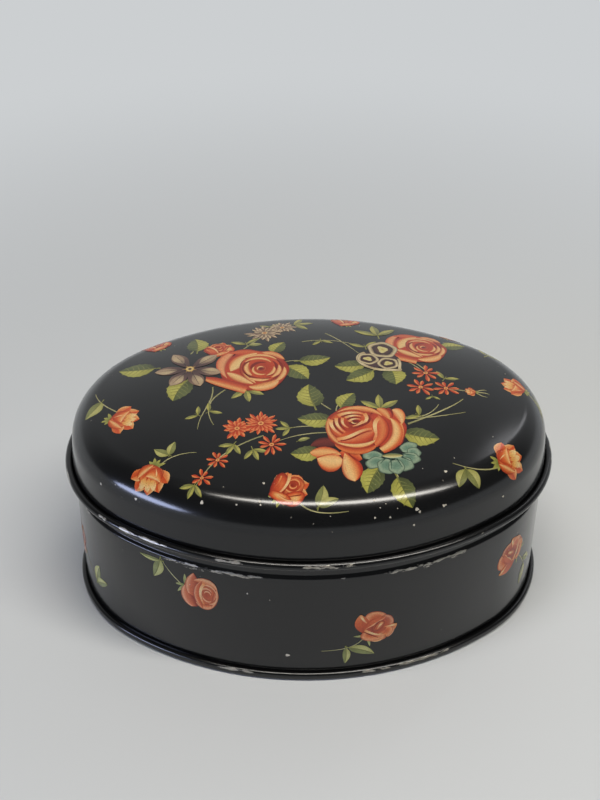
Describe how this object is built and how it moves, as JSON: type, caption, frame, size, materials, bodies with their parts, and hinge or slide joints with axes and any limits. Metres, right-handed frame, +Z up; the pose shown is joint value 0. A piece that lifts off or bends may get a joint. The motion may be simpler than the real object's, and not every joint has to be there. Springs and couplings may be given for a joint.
{
  "type": "oval tin box",
  "caption": "Oval black lacquered tin box with a domed slip-on lid, rolled lid edge and seamed base, printed with roses, for keeping biscuits or sewing things.",
  "frame": {"origin": "on the table, under the middle of the oval base", "axes": "+X along the long side of the oval, +Y towards the back with the wall's lock seam, +Z up"},
  "size_m": [0.1966, 0.1446, 0.0892],
  "materials": {
    "wall_lacquer": "gloss black lacquer with printed roses",
    "base_lacquer": "gloss black lacquer, worn at the seam",
    "lid_lacquer": "gloss black lacquer with printed roses"
  },
  "bodies": {
    "box": {"body_wall": "wall_lacquer", "base_panel": "base_lacquer"},
    "lid": {"lid": "lid_lacquer"}
  },
  "joints": [
    {"name": "lid_lift", "type": "slide", "parent": "box", "child": "lid", "axis": [0, 0, 1], "range_m": [0, 0.08]}
  ]
}
